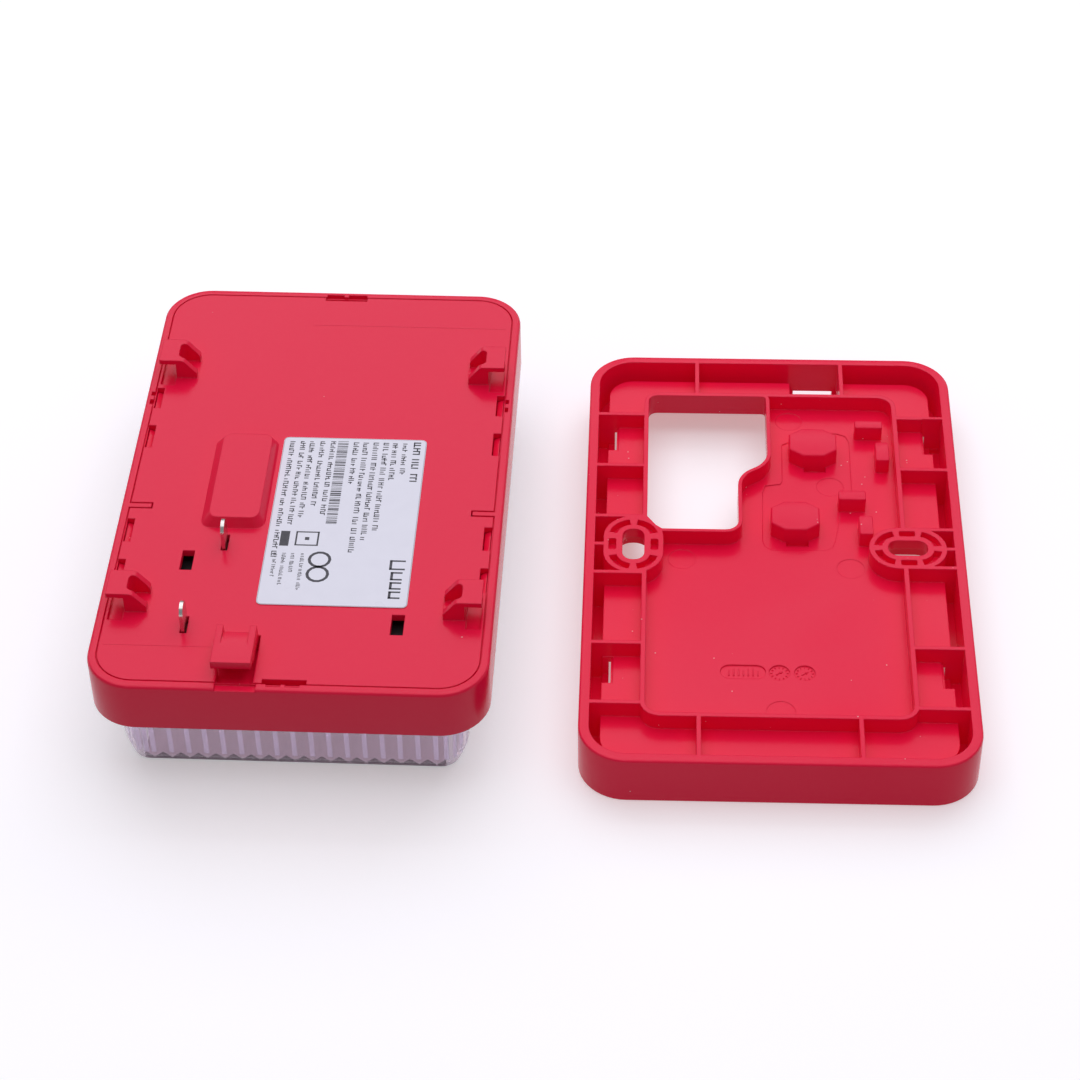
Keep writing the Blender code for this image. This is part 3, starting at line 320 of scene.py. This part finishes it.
def ring_points(half, radius, corner_steps=10, side_step=0.5):
    """Points and normals round a rectangle with round corners, evenly close along the sides."""
    points = []
    for quarter, (sign_x, sign_y) in enumerate(((1, 1), (-1, 1), (-1, -1), (1, -1))):
        middle = (sign_x * (half[0] - radius), sign_y * (half[1] - radius))
        for step in range(corner_steps + 1):
            angle = math.pi / 2 * (quarter + step / corner_steps)
            normal = (math.cos(angle), math.sin(angle))
            points.append((middle[0] + radius * normal[0], middle[1] + radius * normal[1], *normal))
        length = 2 * (half[1] - radius if quarter % 2 else half[0] - radius)
        count = max(2, round(length / side_step))
        start = points[-1]
        heading = (-normal[1], normal[0])
        for step in range(1, count):
            shift = length * step / count
            points.append((start[0] + heading[0] * shift, start[1] + heading[1] * shift, *normal))
    return points


def add_faces_between(work, low, high):
    for i in range(len(low)):
        j = (i + 1) % len(low)
        work.faces.new((low[i], low[j], high[j], high[i]))


def sweep(work, rings, closed=True):
    """Joins rings of the same number of points, and the last back to the first if closed."""
    made = [[work.verts.new(point) for point in ring] for ring in rings]
    for low, high in zip(made, made[1:]):
        add_faces_between(work, low, high)
    if closed:
        add_faces_between(work, made[-1], made[0])


def add_prism(work, first, second):
    """A closed solid between two loops of points."""
    low = [work.verts.new(point) for point in first]
    high = [work.verts.new(point) for point in second]
    work.faces.new(low[::-1])
    work.faces.new(high)
    add_faces_between(work, low, high)


def add_box(work, x0, x1, y0, y1, z0, z1):
    centre = Matrix.Translation(((x0 + x1) / 2, (y0 + y1) / 2, (z0 + z1) / 2))
    size = Matrix.Diagonal((x1 - x0, y1 - y0, z1 - z0, 1.0))
    return bmesh.ops.create_cube(work, size=1.0, matrix=centre @ size)["verts"]


def add_patch(work, x0, x1, y0, y1):
    """A flat patch of ink on the label."""
    corners = ((x0, y0), (x1, y0), (x1, y1), (x0, y1))
    work.faces.new([work.verts.new((x, y, LABEL_PRINT_Z)) for x, y in corners])


def shading_group():
    """Joins the CAD mesh's split corners, then shades it smooth apart from edges over 30 degrees."""
    group = bpy.data.node_groups.new("shading", "GeometryNodeTree")
    group.interface.new_socket("Geometry", in_out="INPUT", socket_type="NodeSocketGeometry")
    group.interface.new_socket("Geometry", in_out="OUTPUT", socket_type="NodeSocketGeometry")
    start = group.nodes.new("NodeGroupInput")
    end = group.nodes.new("NodeGroupOutput")
    merge = group.nodes.new("GeometryNodeMergeByDistance")
    merge.inputs["Distance"].default_value = 0.00001
    angle = group.nodes.new("GeometryNodeInputMeshEdgeAngle")
    sharp = group.nodes.new("FunctionNodeCompare")
    sharp.operation = "GREATER_THAN"
    sharp.inputs[1].default_value = math.radians(30)
    normal = group.nodes.new("GeometryNodeSetMeshNormal")
    normal.mode = "SHARPNESS"
    normal.inputs["Remove Custom"].default_value = True
    normal.inputs["Face Sharpness"].default_value = False
    group.links.new(start.outputs[0], merge.inputs["Geometry"])
    group.links.new(merge.outputs[0], normal.inputs["Mesh"])
    group.links.new(angle.outputs["Unsigned Angle"], sharp.inputs[0])
    group.links.new(sharp.outputs[0], normal.inputs["Edge Sharpness"])
    group.links.new(normal.outputs[0], end.inputs[0])
    return group


def finish_node(name, material):
    """Gives a carried-over CAD node its material and shades its curves smoothly."""
    node = NODES[name]
    node.data.materials.clear()
    node.data.materials.append(material)
    node.modifiers.new("shading", "NODES").node_group = SHADING


# ---------------------------------------------------------------- pieces on the sounder body
def make_lens_walls():
    """The clear shell, with a rounded front edge and long sides that lean in towards the front."""
    outside = ((0.0, 1.9), (0.12, 1.45), (0.45, 1.12), (0.9, 1.0), (2.2, 0.93), (4.0, 0.85), (6.0, 0.75),
               (LENS_DEPTH, 0.02), (LENS_END, 0.0))
    inside = ((LENS_END, 1.8), (LENS_DEPTH, 1.8), (6.0, 2.1), (4.0, 2.15), (2.2, 2.2), (0.9, 2.3), (0.0, 2.7))
    outline = ring_points(LENS_HALF, LENS_RADIUS, side_step=4.0)
    rings = []
    for z, inset in outside + inside:
        lean = SIDE_LEAN * max(0.0, 1.0 - z / LEAN_HEIGHT) ** 2
        ring = []
        for x, y, nx, ny in outline:
            depth = inset + lean * nx * nx
            ring.append((x - nx * depth, y - ny * depth, z))
        rings.append(ring)
    work = bmesh.new()
    sweep(work, rings)
    piece("lens_walls", work, CLEAR, "sounder_body", ("strobe_lens",), 40.0)


def make_lens_ribs():
    """Groups of three fine prisms inside the lens's walls, with a few round each corner."""
    half_x, half_y = LENS_HALF
    places = [(RIB_PITCH * k, side * half_y, 0, side) for k in range(-8, 9) for side in (-1, 1)]
    places += [(side * half_x, RIB_PITCH * k, side, 0) for k in range(-14, 15) for side in (-1, 1)]
    for quarter, (sign_x, sign_y) in enumerate(((1, 1), (-1, 1), (-1, -1), (1, -1))):
        middle_x = sign_x * (half_x - LENS_RADIUS)
        middle_y = sign_y * (half_y - LENS_RADIUS)
        for turn in (15, 38, 61, 82):
            angle = math.radians(90 * quarter + turn)
            nx, ny = math.cos(angle), math.sin(angle)
            places.append((middle_x + LENS_RADIUS * nx, middle_y + LENS_RADIUS * ny, nx, ny))

    teeth = ((-0.55, 0.0), (-0.38, 0.30), (-0.2, 0.04), (0.0, 0.42), (0.2, 0.04), (0.38, 0.30), (0.55, 0.0))
    work = bmesh.new()
    for x, y, nx, ny in places:
        loops = []
        for z, inset in ((1.9, 2.3), (17.3, 1.9)):
            loop = []
            for along, deep in teeth:
                depth = inset + deep
                loop.append((x - nx * depth + ny * along, y - ny * depth + nx * along, z))
            loops.append(loop)
        add_prism(work, *loops)
    piece("lens_ribs", work, RIB_CLEAR, "sounder_body")


def make_lens_front():
    """The front plate, with a ridge opposite each rib on its inner face."""
    half_x, half_y = 34.0, 62.0
    step = RIB_PITCH / 2
    ridges = [(-half_x + step * i, 0.3 if i % 2 else 1.9) for i in range(round(2 * half_x / step) + 1)]
    outline = [(-half_x, 0.03), *ridges, (half_x, 0.03)]
    work = bmesh.new()
    add_prism(work, *([(x, y, z) for x, z in outline] for y in (-half_y, half_y)))
    piece("lens_front", work, CLEAR_FRONT, "sounder_body")


def add_print_row(work, dice, x, start, stop, height, stroke):
    """A row of strokes with gaps like those between words, which says nothing."""
    y = start
    left_in_word = dice.randint(3, 9)
    while y > stop:
        tall = height * dice.choice((1.0, 1.0, 0.7, 0.85))
        base = x - height / 2
        add_patch(work, base, base + tall, y - stroke, y)
        if dice.random() < 0.5:
            bar = base + tall * dice.choice((0.0, 0.5, 0.8))
            add_patch(work, bar, bar + stroke * 0.8, y - stroke * 2.4, y)
        y -= stroke * dice.choice((2.0, 2.4, 2.8))
        left_in_word -= 1
        if left_in_word == 0:
            y -= stroke * 2.6
            left_in_word = dice.randint(3, 9)


def add_bar_strip(work, dice, x0, x1, start, stop):
    y = start
    while y > stop:
        width = dice.choice((0.16, 0.16, 0.3, 0.45))
        add_patch(work, x0, x1, y - width, y)
        y -= width + dice.choice((0.16, 0.3, 0.42))


def add_square_mark(work, x0, x1, y0, y1, stroke):
    """A square outline with a dot in it."""
    add_patch(work, x0, x0 + stroke, y0 + 0.3, y1 - 0.1)
    add_patch(work, x1 - stroke, x1, y0 + 0.3, y1 - 0.1)
    add_patch(work, x0, x1, y1 - stroke, y1)
    add_patch(work, x0, x1, y0, y0 + stroke)
    middle_x = (x0 + x1) / 2
    middle_y = (y0 + y1) / 2
    add_patch(work, middle_x - 0.5, middle_x + 0.5, middle_y - 0.5, middle_y + 0.5)


def add_circle_mark(work, x, y, inner, outer, sides=14):
    for i in range(sides):
        corners = []
        for radius, step in ((inner, i), (outer, i), (outer, i + 1), (inner, i + 1)):
            angle = 2 * math.pi * step / sides
            corners.append((x + radius * math.cos(angle), y + radius * math.sin(angle), LABEL_PRINT_Z))
        work.faces.new([work.verts.new(corner) for corner in corners])


def add_open_box(work, x0, x1, y0, y1):
    """Three strokes round a box that is open on one side."""
    add_patch(work, x0, x1, y0, y0 + 0.5)
    add_patch(work, x0, x1, y1 - 0.5, y1)
    add_patch(work, x0, x0 + 0.6, y0, y1)


def make_label_print():
    """Generic print: rows of plain strokes, a bar strip and simple marks. Nothing is readable."""
    work = bmesh.new()
    dice = random.Random(7)
    rows = (  # x, first y, last y, height, stroke
        (22.7, 12.9, -0.9, 1.7, 0.42), (19.9, 12.4, 1.4, 1.2, 0.3), (17.5, 12.4, -0.6, 1.3, 0.3),
        (15.3, 12.5, -18.3, 1.3, 0.3), (12.9, 12.5, -21.4, 1.3, 0.3), (10.5, 12.4, -26.3, 1.3, 0.3),
        (8.2, 12.4, -1.9, 1.3, 0.3), (2.7, 12.6, -13.1, 1.2, 0.3), (0.2, 12.5, -10.4, 1.2, 0.3),
        (-2.3, 12.4, -13.8, 1.2, 0.3), (-4.5, 12.4, -16.7, 1.2, 0.3), (-7.0, 12.3, -27.9, 1.2, 0.3),
        (-0.3, -26.5, -38.4, 0.9, 0.2), (-2.6, -26.5, -33.0, 0.9, 0.2), (-4.6, -26.5, -36.6, 0.9, 0.2),
        (-6.6, -26.5, -34.2, 0.9, 0.2),
    )
    for row in rows:
        add_print_row(work, dice, *row)
    add_bar_strip(work, dice, 3.8, 6.3, 12.7, -16.2)
    add_patch(work, -6.1, -4.0, -24.1, -19.1)
    add_square_mark(work, -2.6, 2.8, -23.9, -19.1, 0.4)
    for y in (-28.4, -33.2):
        add_circle_mark(work, 3.7, y, 2.0, 2.7)
    add_open_box(work, 19.8, 23.4, -31.2, -28.0)
    for y0, y1 in ((-34.6, -31.9), (-37.6, -35.2), (-40.6, -38.2)):
        add_open_box(work, 20.3, 23.0, y0, y1)
    piece("label_print", work, INK, "sounder_body")


def make_label_edge():
    """A thin grey strip round the label: painted shade along the film's cut edge."""
    outline = ring_points(LABEL_HALF, 1.15, 6, 8.0)
    rings = []
    for inset, z in ((0.0, LABEL_PRINT_Z - 0.006), (0.16, LABEL_PRINT_Z - 0.002)):
        rings.append([(LABEL_CENTRE[0] + x - nx * inset, LABEL_CENTRE[1] + y - ny * inset, z)
                      for x, y, nx, ny in outline])
    work = bmesh.new()
    sweep(work, rings, closed=False)
    piece("label_edge", work, LABEL_EDGE_SHADE, "sounder_body")


def make_witness_lines():
    """Faint raised lines that the mould's inserts leave on the cover."""
    work = bmesh.new()
    for x0, x1, y in WITNESS_LINES:
        add_box(work, x0, x1, y - 0.05, y + 0.05, BODY_TOP - 0.05, BODY_TOP + 0.015)
    piece("cover_witness_lines", work, RED_BODY, "sounder_body")


def make_groove():
    """Bottom of the fine groove between the cover and the housing, and of the one at the latch's root."""
    low, high = GROOVE_Z
    outline = ring_points(GROOVE_HALF, GROOVE_RADIUS)
    rings = []
    for z, inset in ((low, 0.0), (high, 0.0), (high, GROOVE_WIDTH), (low, GROOVE_WIDTH)):
        rings.append([(x - nx * inset, y - ny * inset, z) for x, y, nx, ny in outline])
    work = bmesh.new()
    sweep(work, rings)
    add_box(work, *LATCH_FILLER)
    piece("cover_groove", work, RED_BODY, "sounder_body")


def make_snap_catches():
    """The housing's catches, with sloping tops, which fill the lower part of the cover's side windows."""
    work = bmesh.new()
    for side in (-1, 1):
        x0, x1 = sorted(side * x for x in CATCH_X)
        for y0, y1 in SIDE_WINDOWS:
            for vertex in add_box(work, x0, x1, y0 + 0.25, y1 - 0.25, *CATCH_Z):
                if vertex.co.z > 29.0 and abs(vertex.co.x) < 41.0:
                    vertex.co.z -= CATCH_SLOPE
    piece("snap_catches", work, RED_BODY, "sounder_body")


# ---------------------------------------------------------------- pieces on the bracket
def make_window_lips():
    """Thin lips along the inner edges of the bracket's four claw windows."""
    work = bmesh.new()
    for side in (-1, 1):
        x0, x1 = sorted(side * x for x in LIP_X)
        for y0, y1 in CLAW_WINDOWS:
            add_box(work, x0, x1, y0 + 0.02, y1 - 0.02, *LIP_Z)
    piece("window_lips", work, RED_BRACKET, "bracket")


def add_dial(work, x, y):
    """A ring of twelve ticks with a pointer, as on a moulder's date dial."""
    centre = Matrix.Translation((x, y, DIAL_FLOOR + 0.05))
    for step in range(12):
        turn = Matrix.Rotation(math.pi * step / 6, 4, "Z")
        tick = Matrix.Translation((1.85, 0.0, 0.0)) @ Matrix.Diagonal((0.5, 0.16, 0.2, 1.0))
        bmesh.ops.create_cube(work, size=1.0, matrix=centre @ turn @ tick)
    pointer = centre @ Matrix.Rotation(0.6, 4, "Z")
    for start, end, half in ((-0.9, 0.3, 0.12), (0.2, 1.0, 0.34)):
        outline = ((start, -half), (end, -0.04), (end, 0.04), (start, half))
        add_prism(work, *([pointer @ Vector((px, py, z)) for px, py in outline] for z in (-0.1, 0.1)))


def make_floor_marks():
    """Two date dials and a name plate on the bracket's floor, with plain ticks only."""
    work = bmesh.new()
    for x, y in DIAL_PLACES:
        add_dial(work, x, y)
    for i in range(7):
        x = -11.2 + i * 1.1
        add_box(work, x, x + 0.35, -38.9, -36.8 if i % 3 else -37.4, DIAL_FLOOR - 0.05, DIAL_FLOOR + 0.15)
    piece("floor_date_marks", work, RED_BRACKET, "bracket")


# ---------------------------------------------------------------- the scene
SHADING = shading_group()
make_camera()
make_world()
make_floor()
make_softbox("back_softbox", (0.0, 1.3, 1.35), (2.6, 1.3), 13.0, (1.0, 0.97, 1.07))
make_softbox("top_softbox", (0.0, 0.1, 1.7), (2.2, 1.6), 13.0, (1.0, 0.98, 1.05))

RED_BODY = red_plastic("red_plastic_body", 0.02)
RED_BRACKET = red_plastic("red_plastic_bracket", 0.055, 0.22, 0.03, worn=True)
CLEAR = clear_plastic("clear_plastic", (0.87, 0.77, 0.86), (0.02, 0.07), 0.92, 1.40)
CLEAR_FRONT = clear_plastic("clear_plastic_front", (0.88, 0.72, 0.82), (0.04, 0.1), 0.92, 1.42)
RIB_CLEAR = clear_plastic("clear_plastic_ribs", (0.97, 0.94, 1.0), (0.10, 0.25), 0.55, 1.30, 0.10)
BLACK = simple("black_plastic", (0.012, 0.012, 0.013), (0.02, 0.02, 0.022), 0.42)
WHITE = simple("white_plastic", (0.80, 0.80, 0.80), (0.86, 0.86, 0.85), 0.4)
NICKEL = simple("nickel", (0.62, 0.60, 0.56), (0.74, 0.72, 0.67), 0.24, 1.0)
STEEL = simple("zinc_steel", (0.55, 0.55, 0.54), (0.68, 0.68, 0.66), 0.33, 1.0)
BRASS = simple("brass", (0.70, 0.50, 0.20), (0.78, 0.58, 0.26), 0.3, 1.0)
PAPER = simple("label_film", (0.80, 0.81, 0.88), (0.82, 0.83, 0.90), 0.3, scale=250.0, bump=0.03)
INK = simple("label_ink", (0.035, 0.035, 0.045), (0.06, 0.06, 0.07), 0.45, scale=900.0, bump=0.05)
# The label's edge line is painted shade: a grey strip where the film's cut edge falls in shade.
LABEL_EDGE_SHADE = simple("label_edge_painted_shade", (0.30, 0.29, 0.34), (0.36, 0.35, 0.40), 0.5, scale=900.0, bump=0.02)
BOARD = simple("board_mask", (0.012, 0.12, 0.035), (0.02, 0.17, 0.05), 0.35)
IVORY = simple("ivory_plastic", (0.70, 0.62, 0.46), (0.76, 0.68, 0.52), 0.5)
FERRITE = simple("ferrite", (0.04, 0.04, 0.045), (0.07, 0.07, 0.075), 0.7, bump=0.3)
RUBBER = simple("gasket_rubber", (0.015, 0.015, 0.016), (0.03, 0.03, 0.03), 0.75, bump=0.2)
PHOSPHOR = simple("lamp_phosphor", (0.86, 0.72, 0.22), (0.92, 0.80, 0.30), 0.35)

FINISHES = (
    (RED_BODY, ("front_housing", "rear_cover", "release_latch")),
    (RED_BRACKET, ("mounting_bracket",)),
    (PAPER, ("rating_label",)),
    (RUBBER, ("lens_gasket",)),
    (WHITE, ("reflector_tray", "piezo_ceramic")),
    (BOARD, ("circuit_board",)),
    (BLACK, ("sounder_cup", "tone_switch", "volume_switch")),
    (BLACK, [f"reservoir_capacitor_{number}" for number in (1, 2)]),
    (BRASS, ("piezo_plate",)),
    (FERRITE, ("boost_coil",)),
    (IVORY, [f"blade_socket_{number}" for number in (1, 2)]),
    (NICKEL, [f"{kind}_{number}" for kind in ("contact_blade", "terminal_contact") for number in (1, 2)]),
    (STEEL, [f"{kind}_{number}" for kind in ("clamp_washer", "terminal_screw") for number in (1, 2)]),
    (STEEL, [f"board_screw_{number}" for number in range(1, 5)]),
    (PHOSPHOR, [f"strobe_led_{number}" for number in range(1, 7)]),
)
for material, names in FINISHES:
    for name in names:
        finish_node(name, material)

make_lens_walls()
make_lens_ribs()
make_lens_front()
make_label_print()
make_label_edge()
make_witness_lines()
make_groove()
make_snap_catches()
make_window_lips()
make_floor_marks()

scene.view_settings.view_transform = "Standard"
